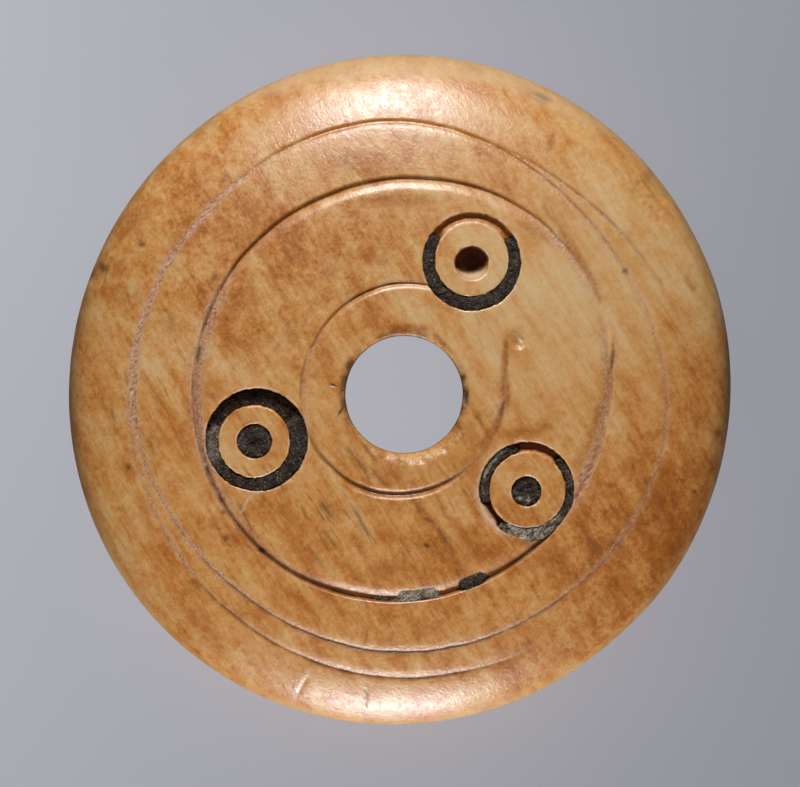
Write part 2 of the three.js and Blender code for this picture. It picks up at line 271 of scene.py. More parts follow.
# Soft stains on the bone: (x, y, length, width, direction in degrees, strength)
RUSTY = (
    # the upper left
    (-13.5, 8.6, 0.9, 0.5, 60, 0.6), (-14.4, 6.3, 0.6, 0.4, 80, 0.5), (-14.4, 4.9, 0.5, 1.2, 80, 0.5),
    (-11.7, 3.4, 0.5, 0.3, 80, 0.5), (-8.4, 4.2, 0.9, 0.4, 60, 0.5), (-5.5, 2.9, 0.7, 0.4, -60, 0.5),
    (-2.0, 11.6, 1.8, 0.6, -10, 0.55), (-0.2, 9.65, 1.8, 0.35, 0, 0.6), (-1.6, 6.9, 0.5, 0.4, -20, 0.7),
    (-3.2, 7.5, 0.4, 0.3, 0, 0.5), (-3.5, 6.0, 0.5, 0.3, 30, 0.5), (-0.8, 6.6, 0.3, 0.3, 0, 0.5),
    (0.85, 12.85, 0.22, 0.12, 20, 0.8), (-7.5, 7.5, 1.4, 0.6, 40, 0.35), (-10.8, 8.0, 1.2, 0.5, 50, 0.4),
    # the upper right, with the stretch where the middle groove fades out
    (3.9, 16.4, 0.5, 0.2, -25, 0.6), (7.7, 12.6, 0.5, 0.2, 70, 0.7), (6.2, 14.2, 0.4, 0.2, -30, 0.4),
    (6.95, 8.1, 0.8, 0.35, -35, 0.5), (4.45, 12.2, 0.8, 0.4, -30, 0.4),
    (9.15, 6.7, 1.9, 0.2, -58, 0.75), (11.0, 12.4, 0.7, 0.1, -50, 0.5),
    (10.1, 4.9, 0.5, 0.15, -70, 0.6), (14.9, 5.3, 0.5, 0.15, -60, 0.5),
    # round the hole, and the inner groove's right side
    (0.4, 3.1, 1.1, 0.24, 0, 1), (-2.4, 1.3, 0.7, 0.28, 55, 0.9), (2.2, 2.4, 0.8, 0.14, -45, 0.8),
    (5.42, 1.5, 1.1, 0.16, 88, 1), (5.42, 0.0, 1.0, 0.2, 92, 1), (5.05, -1.6, 0.9, 0.2, 70, 1),
    (4.55, -2.5, 0.7, 0.3, 60, 0.9), (3.9, -2.6, 1.0, 0.3, -58, 0.6), (3.7, -3.7, 1.0, 0.35, 60, 0.55),
    (2.9, -1.9, 0.5, 0.25, -60, 0.6),
    # round the right motif, and the rim below it
    (6.3, -2.2, 1.3, 0.25, 5, 0.7), (7.4, -1.8, 0.4, 0.25, 0, 0.6), (3.85, -5.2, 1.0, 0.4, 80, 0.45),
    (10.1, -1.4, 1.1, 0.22, 72, 0.7), (10.85, 1.6, 0.9, 0.12, 84, 0.8), (9.4, -3.2, 1.0, 0.25, 66, 0.5),
    (14.2, -7.4, 2.0, 0.6, 60, 0.6), (13.0, -8.0, 0.6, 0.4, 60, 0.5), (7.0, -8.8, 1.2, 0.4, 15, 0.45),
    (4.2, -8.3, 0.8, 0.4, 10, 0.5), (12.5, -2.4, 0.35, 0.25, 0, 0.5), (15.3, -1.6, 0.4, 0.15, 80, 0.5),
    (16.3, -2.4, 0.5, 0.3, 70, 0.4), (13.4, -4.6, 1.2, 0.4, 70, 0.4), (10.8, -10.4, 1.6, 0.5, 45, 0.4),
    # the lower left
    (1.4, -7.9, 0.5, 0.3, -30, 0.5), (3.4, -7.3, 0.5, 0.4, 0, 0.5), (-0.5, -9.2, 1.3, 0.4, 10, 0.6),
    (-2.0, -7.9, 0.5, 0.25, -50, 0.5), (-1.65, -12.5, 0.5, 0.1, 80, 0.7),
    (-4.9, -10.8, 0.7, 0.25, -35, 0.5), (-10.3, -9.95, 0.34, 0.18, -60, 1),
    (-13.8, -4.0, 0.6, 0.3, -75, 0.4), (-12.9, -6.6, 1.1, 0.25, -70, 0.4),
    (-10.6, -1.0, 0.5, 0.3, -60, 0.4), (-9.4, -6.9, 0.5, 0.3, -60, 0.35),
    (-7.8, -11.6, 0.9, 0.3, -50, 0.4),
)
DARK_SPOTS = (
    (-13.1, 7.4, 0.16, 0.13, 0, 0.6), (-9.4, 5.7, 0.25, 0.12, 60, 0.5),
    (11.55, 6.05, 0.14, 0.12, 0, 0.7), (10.9, 1.55, 0.45, 0.07, 84, 0.75),
    (5.25, -1.0, 0.4, 0.07, 76, 0.7), (1.44, -7.95, 0.2, 0.1, -30, 0.8),
    (1.5, -6.65, 0.35, 0.1, -20, 0.5), (2.3, -7.6, 0.7, 0.08, -57, 0.5),
    (-3.7, -6.1, 0.5, 0.12, -55, 0.6), (-3.5, -7.6, 0.6, 0.1, -55, 0.4),
    (-1.95, -6.7, 1.1, 0.07, -60, 0.6), (-1.5, -3.2, 0.6, 0.08, -50, 0.5),
    (-2.05, -3.7, 0.8, 0.08, -52, 0.5), (-1.0, -4.5, 0.6, 0.07, -50, 0.5),
    (-13.8, -4.0, 0.13, 0.12, 0, 0.7), (-8.95, -6.25, 0.13, 0.11, 0, 0.6),
    (-8.8, -7.6, 0.16, 0.1, 60, 0.6), (4.1, -1.5, 0.4, 0.06, -62, 0.5),
    (7.6, 9.0, 0.5, 0.06, -60, 0.25), (-6.2, -4.5, 0.9, 0.07, -58, 0.35),
    (0.9, -5.9, 0.6, 0.07, -60, 0.4), (-4.3, -8.4, 0.7, 0.07, -56, 0.35),
    (15.1, -5.2, 0.14, 0.12, 0, 0.6), (-12.6, -2.9, 0.5, 0.08, -72, 0.4),
    (-14.6, -1.2, 0.5, 0.08, -80, 0.4), (-13.9, 0.6, 0.4, 0.08, -80, 0.35),
    (16.3, -2.2, 0.2, 0.12, 0, 0.5),
)


def mark_reach(mark, x, y):
    """0 at the middle of a mark and 1 at its edge."""
    mx, my, length, width, direction, _ = mark
    c, s = math.cos(math.radians(direction)), math.sin(math.radians(direction))
    along, across = (x - mx) * c + (y - my) * s, (y - my) * c - (x - mx) * s
    return np.hypot(along / length, across / width)


def mark_share(mark, x, y):
    return smooth(1.35 - mark_reach(mark, x, y) * 0.95)


def stains(marks, x, y, seed):
    """How stained the bone is, with soft ragged edges."""
    total, ragged = np.zeros_like(x), 0.25 * layered_noise(x, y, 0.4, seed)
    for mark in marks:
        total = np.maximum(total, mark[5] * smooth(1.3 - 0.8 * mark_reach(mark, x, y) + ragged))
    return total


def mouth_wear(x, y, turn):
    """How far the hole's upper lip is worn back, which is most on its lower side."""
    return (0.26 + 0.8 * between(turn, 256, 322, 34)) * (1 + 0.3 * noise(x, y, 0.55, 97))


def top_surface(x, y):
    """Height of the bone's top at each point, and masks for its colouring."""
    radius, angle = np.hypot(x, y), np.arctan2(y, x)
    carve, burr = np.zeros_like(x), np.zeros_like(x)
    dust, dark_line = np.zeros_like(x), np.zeros_like(x)
    for name, groove in GROOVES.items():
        depth, _ = groove_depth(name, radius, angle)
        carve, burr = np.maximum(carve, depth), np.minimum(burr, depth)
        across = radius - groove_radius(groove, angle)
        _, dusty, lined = groove_look(groove, angle)
        wide = groove["spread"] * (0.6 + 0.6 * dusty) * (1 + 0.35 * noise(x, y, 0.5, 53))
        spread = smooth(1.25 - np.abs(across + 0.3 * groove["spread"]) / wide)
        dust = np.maximum(dust, spread * dusty)
        broken = smooth(0.8 + 1.3 * noise(x, y, 0.6, 59))
        dark_line = np.maximum(dark_line, smooth(1.2 - np.abs(across - 0.03) / 0.1) * lined * broken)
    # Painted shade: on the top side the grooves' outer walls face away from the top lamp, so their dark
    # line is painted amber there, the way the shade looks with light coming through the bone.
    shaded_top = between(angle, 50, 138, 14)
    hollow_shade, amber_shade = np.zeros_like(x), np.minimum(1, 1.7 * dark_line * shaded_top)
    dark_line = dark_line * (1 - 0.85 * shaded_top)
    for name in MOTIFS:
        (cut, ring), dot = ring_depth(name, x, y), dot_depth(name, x, y)
        deep = DOT_DEPTH * (1.25 if name == "upper" else 1)
        carve = np.maximum(carve, np.maximum(cut, dot * deep))
        # Painted shade: the deep parts of the dots are painted dark red-brown.
        hollow_shade = np.maximum(hollow_shade, smooth((dot - 0.3) / 0.45))
        if name == "upper":
            # Painted shade: the upper ring's empty channel, in the top lamp's shadow, is painted amber.
            amber_shade = np.maximum(amber_shade, ring)
            dust = np.maximum(dust, 0.7 * smooth(ring * 6) * smooth((0.75 - ring) * 4))
        else:
            # Painted shade: so are the empty channels of the left and right rings.
            hollow_shade = np.maximum(hollow_shade, ring * 0.95)
    carve = np.where(carve > 0.004, carve, burr)
    crumbly = 1 + 0.35 * noise(x, y, 0.2, 47)
    for mark in MARKS.values():
        carve = np.maximum(carve, mark[5] * mark_share(mark, x, y) * crumbly)
    away, turn = local((*HOLE, HOLE_RADIUS), x, y)
    wear = mouth_wear(x, y, turn)
    lip = np.clip(1 - (away - HOLE_RADIUS) / wear, 0, 1)
    drop = 0.74 * wear * (1 - np.sqrt(1 - 0.96 * lip * lip))
    battered = 0.04 + 0.035 * between(turn, 256, 330, 20)
    drop = drop + battered * smooth(lip * 2.4) * layered_noise(x, y, 0.26, 103, 2)
    swell = 0.012 * layered_noise(x, y, 2.2, 3) + 0.005 * layered_noise(x, y, 0.7, 7, 2)
    worn = smooth(carve / 0.1)
    rough_cut = 0.012 * layered_noise(x, y, 0.3, 13, 2) * worn
    z = dome(radius, angle) - carve - drop + swell + rough_cut
    return z, dict(dust=dust * (1 - hollow_shade), line=dark_line * (1 - hollow_shade), hollow_shade=hollow_shade,
                   amber_shade=amber_shade, lip=smooth(lip * 1.2))


# ---------------------------------------------------------------- meshes

def add_mesh(name, points, faces, masks=None):
    """A smooth-shaded mesh from points in millimetres, with masks as vertex attributes."""
    mesh = bpy.data.meshes.new(name)
    mesh.from_pydata((np.asarray(points) * MM).tolist(), [], faces)
    mesh.polygons.foreach_set("use_smooth", np.ones(len(mesh.polygons), bool))
    for key, values in (masks or {}).items():
        attribute = mesh.attributes.new(key, "FLOAT", "POINT")
        attribute.data.foreach_set("value", np.asarray(values, np.float32))
    mesh.validate()
    mesh.update()
    thing = bpy.data.objects.new(name, mesh)
    bpy.context.scene.collection.objects.link(thing)
    return thing


def circle_points(centre, radius, spacing, wave=None):
    """Points round a circle, or round a wavy line if wave gives its radius for an angle."""
    count = int(math.ceil(2 * math.pi * radius / spacing))
    angle = np.arange(count) * 2 * math.pi / count
    reach = radius if wave is None else wave(angle)
    return np.stack([centre[0] + reach * np.cos(angle), centre[1] + reach * np.sin(angle)], 1)


def hexagon_grid(low, high, spacing):
    rows = np.arange(low[1], high[1], spacing * math.sqrt(3) / 2)
    columns = np.arange(low[0], high[0], spacing)
    x, y = np.meshgrid(columns, rows)
    x[1::2] += spacing / 2
    return np.stack([x.ravel(), y.ravel()], 1)


class PointSet:
    """Points kept apart: a later point too near to an earlier one is left out."""

    def __init__(self):
        self.kept = np.zeros((0, 2))

    def add(self, points, apart):
        if len(self.kept) and apart:
            tree = kdtree.KDTree(len(self.kept))
            for i, p in enumerate(self.kept):
                tree.insert((p[0], p[1], 0), i)
            tree.balance()
            free = [tree.find((p[0], p[1], 0))[2] > apart for p in points]
            points = points[np.array(free, bool)]
        self.kept = np.vstack([self.kept, points])


def triangulate(points, ring_sizes):
    """Triangles over the points. The first points are closed rings of the given sizes, whose
    edges are kept: the outer boundary, and then the hole's mouth."""
    edges, start = [], 0
    for size in ring_sizes:
        edges += [(start + i, start + (i + 1) % size) for i in range(size)]
        start += size
    made = delaunay_2d_cdt([Vector(p) for p in points], edges, [], 0, 1e-7, True)
    if len(made[0]) != len(points):
        raise ValueError("two points of the top are the same")
    origin = [ids[0] for ids in made[3]]
    return np.array([[origin[i] for i in face] for face in made[2]])


def rim_ring(share):
    angle = np.arange(RIM_POINTS) * 2 * math.pi / RIM_POINTS
    reach = disc_radius(angle) * share
    return np.stack([reach * np.cos(angle), reach * np.sin(angle)], 1)


def mouth_ring(radius):
    angle = np.arange(MOUTH_POINTS) * 2 * math.pi / MOUTH_POINTS
    return HOLE + radius * np.stack([np.cos(angle), np.sin(angle)], 1)


def top_points():
    """Where the top is sampled: along every edge of its relief, and evenly between."""
    found = PointSet()
    found.add(rim_ring(TOP_EDGE), 0)
    found.add(mouth_ring(HOLE_RADIUS + 0.015), 0)
    for out in (0.05, 0.1, 0.16, 0.24, 0.34, 0.44, 0.54, 0.64, 0.75):
        found.add(circle_points(HOLE, HOLE_RADIUS + out, 0.1), 0.04)
    for motif in MOTIFS.values():
        for key, offsets in (("ring", (-0.13, -0.1, -0.06, -0.025, 0.01, 0.05, 0.1)),
                             ("core", (0.13, 0.1, 0.06, 0.025, -0.01, -0.05, -0.1)),
                             ("dot", (-0.13, -0.1, -0.06, -0.025, 0.01, 0.05))):
            x, y, radius = motif[key]
            for offset in offsets:
                found.add(circle_points((x, y), radius + offset, 0.085), 0.03)
    for name, groove in GROOVES.items():
        wide, steep = groove["inner"], groove["outer"]
        offsets = [-wide * s for s in (1.0, 0.8, 0.6, 0.42, 0.26, 0.12)] + [0]
        offsets += [steep * s for s in (0.25, 0.5, 0.75, 1.0, 1.5)]
        for offset in offsets:
            line = circle_points((0, 0), groove["radius"], 0.125,
                                 lambda angle: groove_radius(groove, angle) + offset)
            if name == "stray":
                angle = np.arctan2(line[:, 1], line[:, 0])
                line = line[between(angle, -55, 0, 3) < 0.5]
            found.add(line, 0.045)
    for motif in MOTIFS.values():
        x, y, radius = motif["ring"]
        patch = hexagon_grid((x - radius, y - radius), (x + radius, y + radius), MOTIF_SPACING)
        patch = patch[np.hypot(patch[:, 0] - x, patch[:, 1] - y) < radius + 0.1]
        found.add(patch, 0.055)
    thin = [mark for mark in RUSTY + DARK_SPOTS if min(mark[2:4]) <= 0.16]
    for mark in [*MARKS.values(), *thin]:
        x, y, length, width, _, _ = mark
        reach = max(length, width) * 1.3
        patch = hexagon_grid((x - reach, y - reach), (x + reach, y + reach), MARK_SPACING)
        patch = patch[mark_share(mark, patch[:, 0], patch[:, 1]) > 0]
        found.add(inside_top(patch, MARK_SPACING), 0.05)
    grid = hexagon_grid((-DISC_RADIUS - 1,) * 2, (DISC_RADIUS + 1,) * 2, FIELD_SPACING)
    found.add(inside_top(grid, 0.1), FIELD_SPACING * 0.55)
    return found.kept


def inside_top(points, margin):
    radius = np.hypot(*points.T)
    rim = disc_radius(np.arctan2(points[:, 1], points[:, 0])) * TOP_EDGE
    away = np.hypot(*(points - HOLE).T)
    return points[(radius < rim - margin) & (away > HOLE_RADIUS + margin)]


def side_profile(angle):
    """(radius as a share of the disc's, heights round the disc) from the top's edge down to the
    foot. The edge falls off faster than the dome's curve at the left and right."""
    profile = []
    start = math.acos(TOP_EDGE)
    drop = 1.0 * np.cos(angle) ** 2 - 0.5 * between(angle, 245, 295, 35)
    for step in range(1, 13):
        turn = start * (1 - step / 12)
        height = HEIGHT - DOME_RISE * (1 - math.sin(turn))
        profile.append((math.cos(turn), height - drop * (step / 12) ** 2))
    edge = HEIGHT - DOME_RISE - drop
    foot = np.minimum(FOOT_RISE, edge - 0.15)
    for step in range(1, 3):
        profile.append((1, edge - (edge - foot) * step / 2))
    for step in range(1, 11):
        turn = step / 10 * math.pi / 2
        inset = FOOT_INSET * (1 - math.cos(turn))
        profile.append((1 - inset / DISC_RADIUS, foot * (1 - math.sin(turn))))
    return profile


def bridge(first, second, count, flip=False):
    """Quads between two rings of the same count that start at these indices."""
    faces = []
    for i in range(count):
        j = (i + 1) % count
        quad = (first + i, second + i, second + j, first + j)
        faces.append(quad[::-1] if flip else quad)
    return faces


def rim_damage(angle, z):
    """How far the side is knocked in at the nicks on the rim."""
    knock = 0 * angle
    for start, stop, depth, low in ((63, 65.5, 0.16, 4.0), (36, 40, 0.1, 3.0),
                                    (126, 130, 0.1, 3.0), (158.3, 160, 0.22, 3.4)):
        knock = knock + depth * between(angle, start, stop, 1.6) * smooth((z - low + 1.2) / 1.2)
    return knock


class Shell:
    """The top, and under it rings of points that are joined to the ring above by quads."""

    def __init__(self, top, tris):
        self.points, self.faces, self.total = [top], [tuple(map(int, t)) for t in tris], len(top)

    def add_ring(self, above, ring, flip=False):
        """Adds a ring under the one that starts at the index above. Returns where it starts."""
        self.points.append(ring)
        self.faces += bridge(above, self.total, len(ring), flip)
        self.total += len(ring)
        return self.total - len(ring)


def trimmed(points, tris, hole, up):
    """The triangles that lie outside a radius round the hole, wound to face up or down."""
    middle = points[tris].mean(axis=1)
    tris = tris[np.hypot(*(middle - HOLE).T) > hole]
    corner = points[tris]
    spin = np.cross(corner[:, 1] - corner[:, 0], corner[:, 2] - corner[:, 0])
    wrong = spin < 0 if up else spin > 0
    tris[wrong] = tris[wrong][:, ::-1]
    return tris


def add_side(shell):
    """The side from the top's edge down to the foot. Returns where the foot's ring starts."""
    angle = np.arange(RIM_POINTS) * 2 * math.pi / RIM_POINTS
    lift = shell.points[0][:RIM_POINTS, 2] - dome(disc_radius(angle) * TOP_EDGE, angle)
    above = 0
    for k, (share, height) in enumerate(side_profile(angle)):
        reach = disc_radius(angle) * share
        x, y = reach * np.cos(angle), reach * np.sin(angle)
        bumps = 0.012 * layered_noise(x + height, y - height, 1.8, 3)
        inward = rim_damage(angle, height) - bumps * min(1, k / 4)
        x, y = x - inward * np.cos(angle), y - inward * np.sin(angle)
        level = height + lift * max(0, 1 - (k + 1) / 6)
        above = shell.add_ring(above, np.column_stack([x, y, np.broadcast_to(level, x.shape)]))
    return above


def add_hole(shell, mouth_z):
    """The wall of the hole and its softened lower edge. Returns where the last ring starts."""
    angle = np.arange(MOUTH_POINTS) * 2 * math.pi / MOUTH_POINTS
    above = RIM_POINTS
    for k in range(1, WALL_RINGS + 1):
        share = k / WALL_RINGS
        height = mouth_z * (1 - share) + WALL_FOOT * share
        bumps = 0.02 * layered_noise(angle * 3, height, 1.0, 53) * min(1, k / 3)
        ring = HOLE + (HOLE_RADIUS + bumps[:, None]) * np.stack([np.cos(angle), np.sin(angle)], 1)
        above = shell.add_ring(above, np.column_stack([ring, height]), flip=True)
    for out, height in HOLE_FOOT:
        ring = np.column_stack([mouth_ring(HOLE_RADIUS + out), np.full(MOUTH_POINTS, height)])
        above = shell.add_ring(above, ring, flip=True)
    return above


def add_underside(shell, foot, outer, mouth):
    """The underside between the foot and the hole: flat, and faintly uneven inside its edge."""
    open_radius = HOLE_RADIUS + HOLE_FOOT[-1][0]
    under = PointSet()
    under.add(outer, 0)
    under.add(mouth_ring(open_radius), 0)
    grid = hexagon_grid((-DISC_RADIUS,) * 2, (DISC_RADIUS,) * 2, UNDERSIDE_SPACING)
    reach, away = np.hypot(*grid.T), np.hypot(*(grid - HOLE).T)
    edge = disc_radius(np.arctan2(grid[:, 1], grid[:, 0])) - FOOT_INSET
    under.add(grid[(reach < edge - 0.25) & (away > HOLE_RADIUS + 0.55)], 0.2)
    tris = triangulate(under.kept, (RIM_POINTS, MOUTH_POINTS))
    tris = trimmed(under.kept, tris, open_radius - 0.005, up=False)
    x, y = under.kept[RIM_POINTS + MOUTH_POINTS:].T
    rise = 0.05 * smooth(0.4 + layered_noise(x, y, 4.0, 61)) * smooth((15.6 - np.hypot(x, y)) / 2)
    places = np.concatenate([foot + np.arange(RIM_POINTS), mouth + np.arange(MOUTH_POINTS),
                             shell.total + np.arange(len(x))])
    shell.points.append(np.column_stack([x, y, rise]))
    shell.faces += [tuple(int(places[i]) for i in t) for t in tris]


def make_whorl():
    top = top_points()
    z, masks = top_surface(top[:, 0], top[:, 1])
    tris = triangulate(top, (RIM_POINTS, MOUTH_POINTS))
    shell = Shell(np.column_stack([top, z]), trimmed(top, tris, HOLE_RADIUS + 0.01, up=True))
    foot = add_side(shell)
    outer = shell.points[-1][:, :2]
    mouth = add_hole(shell, z[RIM_POINTS:RIM_POINTS + MOUTH_POINTS])
    add_underside(shell, foot, outer, mouth)
    points = np.vstack(shell.points)
    plain = np.zeros(len(points) - len(top))
    masks = {key: np.concatenate([values, plain]) for key, values in masks.items()}
    return add_mesh("bone_whorl", points, shell.faces, masks)


def sweep(name, sections, closed, masks=None):
    """A closed solid through sections, each an (n, 3) loop of points. Its ends are capped
    unless the sweep runs back into itself."""
    sections = np.asarray(sections)
    count, size, _ = sections.shape
    faces = []
    for k in range(count if closed else count - 1):
        first, second = k * size, (k + 1) % count * size
        faces += bridge(first, second, size)
    if not closed:
        faces.append(tuple(range(size)))
        faces.append(tuple(reversed(range((count - 1) * size, count * size))))
    return add_mesh(name, sections.reshape(-1, 3), faces, masks)


def paste_grains(x, y, seed):
    """Crumbly relief of dried paste, in millimetres."""
    lumps = 0.065 * layered_noise(x, y, 0.4, seed)
    grit = 0.05 * noise(x, y, 0.15, seed + 9) + 0.03 * noise(x, y, 0.08, seed + 17)
    crack = (np.abs(noise(x, y, 0.7, seed + 5)) < 0.05) & (noise(x, y, 0.6, seed + 7) > 0.15)
    return lumps + grit - 0.06 * crack


def paste_section(x, y, ground, deep, base, grey):
    """A loop of points across a lump of paste: its top, which lies deep under the ground, and
    its flat base. Comes with how pale each point is."""
    top = np.column_stack([x, y, ground - deep])
    floor = np.column_stack([x[[-1, 0]], y[[-1, 0]], ground[[-1, 0]] - base])
    return np.vstack([top[::-1], floor[::-1]]), np.concatenate([grey[::-1], [0, 0]])


def end_distance(turn, start, stop):
    """How far a direction is from the nearer of a lump's ends, which are given in degrees."""
    return min(turn - math.radians(start), math.radians(stop) - turn)


def ring_paste(name, motif, start, stop, sunk, dusty, seed, spill=lambda turn: 0):
    """Paste in a motif's ring. sunk and spill give its depth and how far it lies over the ring's
    edge by direction, and dusty gives its paleness by direction and place across the ring."""
    rx, ry, outer = MOTIFS[motif]["ring"]
    cx, cy, inner = MOTIFS[motif]["core"]
    closed = stop - start >= 360
    count = int(math.radians(stop - start) * outer / 0.055)
    turns = np.radians(np.linspace(start, stop, count, endpoint=not closed))
    across = np.linspace(0, 1, 15)
    sections, pale = [], []
    for turn in turns:
        frayed = 1 + 0.4 * noise(np.array([turn * 3]), np.array([0]), 0.4, seed)[0]
        reach = outer + OVERLAP + spill(turn) * frayed
        out = np.array([rx, ry]) + reach * np.array([math.cos(turn), math.sin(turn)])
        core = np.array([cx, cy]) + (inner - OVERLAP) * np.array([math.cos(turn), math.sin(turn)])
        line = core + np.outer(across, out - core)
        x, y = line.T
        ground = dome(np.hypot(x, y), np.arctan2(y, x))
        wall = np.minimum(across, 1 - across) * np.hypot(*(out - core))
        gully = 0.1 * (1 - smooth(wall / 0.1)) * (1 + noise(x, y, 0.4, seed + 3))
        end = 0 if closed else end_distance(turn, start, stop) * outer
        fall = 0 if closed else 0.5 * (1 - smooth((end + 0.06 * noise(x, y, 0.2, seed)) / 0.16))
        deep = np.minimum(sunk(turn) + gully + fall - paste_grains(x, y, seed), RING_DEPTH - 0.06)
        grey = dusty(turn, across) * smooth(0.55 + layered_noise(x, y, 0.35, seed + 21))
        loop, shades = paste_section(x, y, ground, deep, RING_DEPTH - 0.01, grey)
        sections.append(loop)
        pale.append(shades)
    return sweep(name, sections, closed, {"pale": np.concatenate(pale)})


def dot_paste(name, motif, sunk, dusty, seed):
    """Paste in a motif's dot: a plug with a crumbly top."""
    cx, cy, radius = MOTIFS[motif]["dot"]
    rings = np.linspace(0, 1, 17)[1:]
    angle = np.arange(DOT_POINTS) * 2 * math.pi / DOT_POINTS
    points, pale = [], []
    for ring in rings:
        reach = (radius + OVERLAP) * ring
        x, y = cx + reach * np.cos(angle), cy + reach * np.sin(angle)
        gully = 0.08 * (1 - smooth((radius - reach) / 0.1))
        ground = dome(np.hypot(x, y), np.arctan2(y, x))
        points.append(np.column_stack([x, y, ground - sunk - gully + paste_grains(x, y, seed)]))
        patchy = smooth(0.5 + layered_noise(x, y, 0.3, seed + 21))
        pale.append(np.minimum(1, dusty(angle) * ring * 2 * patchy))
    x, y = points[-1][:, :2].T
    middle = dome(math.hypot(cx, cy), math.atan2(cy, cx))
    base = middle - DOT_DEPTH + 0.1
    points.append(np.column_stack([x, y, np.full(DOT_POINTS, base)]))
    points.append(np.array([[cx, cy, middle - sunk], [cx, cy, base]]))
    pale.append(np.zeros(DOT_POINTS + 2))
    faces = []
    for k in range(len(rings)):
        faces += bridge(k * DOT_POINTS, (k + 1) * DOT_POINTS, DOT_POINTS)
    last = len(rings) * DOT_POINTS
    top, bottom = last + DOT_POINTS, last + DOT_POINTS + 1
    for i in range(DOT_POINTS):
        j = (i + 1) % DOT_POINTS
        faces.append((top, i, j))
        faces.append((bottom, last + j, last + i))
    return add_mesh(name, np.vstack(points), faces, {"pale": np.concatenate(pale)})


def groove_paste(name, start, stop, sunk, dusty, seed):
    """A lump of paste in the middle groove. It shows where the groove is deeper."""
    groove = GROOVES["middle"]
    count = int(math.radians(stop - start) * groove["radius"] / 0.05)
    across = np.linspace(-0.46, 0.3, 17)
    sections, pale = [], []
    for turn in np.radians(np.linspace(start, stop, count)):
        reach = groove_radius(groove, np.array([turn]))[0] + across
        x, y = reach * math.cos(turn), reach * math.sin(turn)
        ground = dome(reach, turn)
        end = end_distance(turn, start, stop) * groove["radius"]
        fall = 0.3 * (1 - smooth((end + 0.1 * noise(x, y, 0.25, seed)) / 0.3))
        grains = 0.8 * paste_grains(x, y, seed) * smooth((across + 0.5) / 0.25)
        deep = np.clip(sunk(turn) + fall - grains, -0.03, 0.34)
        grey = dusty(turn) * smooth(0.6 + layered_noise(x, y, 0.4, seed + 21))
        loop, shades = paste_section(x, y, ground, deep, 0.4, grey)
        sections.append(loop)
        pale.append(shades)
    return sweep(name, sections, False, {"pale": np.concatenate(pale)})


# ---------------------------------------------------------------- materials

def put(tree, kind, inputs=(), **settings):
    """A new node with its settings, and each input linked to a socket or set to a value."""
    made = tree.nodes.new("ShaderNode" + kind)
    for key, value in settings.items():
        setattr(made, key, value)
    for key, value in dict(inputs).items():
        if isinstance(value, bpy.types.NodeSocket):
            tree.links.new(value, made.inputs[key])
        else:
            made.inputs[key].default_value = value
    return made


def mixed(tree, factor, first, second, blend="MIX"):
    """Two colours mixed by a factor."""
    colours = [(*c, 1) if isinstance(c, tuple) else c for c in (first, second)]
    made = put(tree, "Mix", {0: factor, 6: colours[0], 7: colours[1]}, data_type="RGBA", blend_type=blend)
    return made.outputs[2]


def arithmetic(tree, operation, first, second, clamp=False):
    return put(tree, "Math", {0: first, 1: second}, operation=operation, use_clamp=clamp).outputs[0]


def times(tree, first, second):
    return arithmetic(tree, "MULTIPLY", first, second)


def plus(tree, first, second, clamp=False):
    return arithmetic(tree, "ADD", first, second, clamp)


def minus(tree, first, second):
    return arithmetic(tree, "SUBTRACT", first, second)


def speckle(tree, place, scale, detail=4.0, rough=0.55, warp=0.0):
    made = put(tree, "TexNoise", {"Vector": place, "Scale": scale, "Detail": detail,
                                  "Roughness": rough, "Distortion": warp})
    return made.outputs["Fac"]


def stretched(tree, value, low, high, to_low=0.0, to_high=1.0):
    made = put(tree, "MapRange", {"Value": value, "From Min": low, "From Max": high,
                                  "To Min": to_low, "To Max": to_high}, clamp=True)
    return made.outputs["Result"]


def mask(tree, name):
    return put(tree, "Attribute", attribute_name=name, attribute_type="GEOMETRY").outputs["Fac"]


def millimetres(tree, turn=0.0, scale=(1, 1, 1)):
    """Object coordinates in millimetres, turned about Z and then scaled along their own axes."""
    source = put(tree, "TexCoord").outputs["Object"]
    turned = put(tree, "Mapping", {"Vector": source, "Scale": (1000,) * 3,
                                   "Rotation": (0, 0, math.radians(turn))})
    return put(tree, "Mapping", {"Vector": turned.outputs[0], "Scale": scale}).outputs[0]


def new_material(name):
    material = bpy.data.materials.new(name)
    material.use_nodes = True
    return material, material.node_tree, material.node_tree.nodes["Principled BSDF"]


BONE_TONES = ((0.0, (0.60, 0.40, 0.195)), (0.26, (0.575, 0.32, 0.118)), (0.49, (0.52, 0.236, 0.062)),
              (0.72, (0.42, 0.145, 0.024)), (1.0, (0.25, 0.075, 0.012)))
DARK_BONE = (0.20, 0.065, 0.008)
RUST = (0.44, 0.145, 0.024)
STAIN = (0.31, 0.085, 0.006)
# painted shade: amber for the shaded groove walls and the upper ring's channel
AMBER_SHADE = (0.42, 0.135, 0.008)
DUST = (0.50, 0.27, 0.165)
TORN = (0.20, 0.085, 0.045)
FLECK = (0.74, 0.55, 0.42)
CRUMB = (0.10, 0.04, 0.02)
FIBRE = (0.20, 0.07, 0.015)
# painted shade: dark red-brown for the deep hollows
HOLLOW_SHADE = (0.24, 0.055, 0.009)
# dark dirt, and painted shade in the open dot's middle
DIRT_AND_SHADE = (0.035, 0.016, 0.009)
# pale chalky wear, and painted light on the open dot's lit lower wall
CHALK_AND_LIGHT = (0.68, 0.49, 0.35)
RIM = (0.55, 0.39, 0.215)
GRAIN_DIRECTION = -58  # degrees: the bone's fibres run from the upper left to the lower right


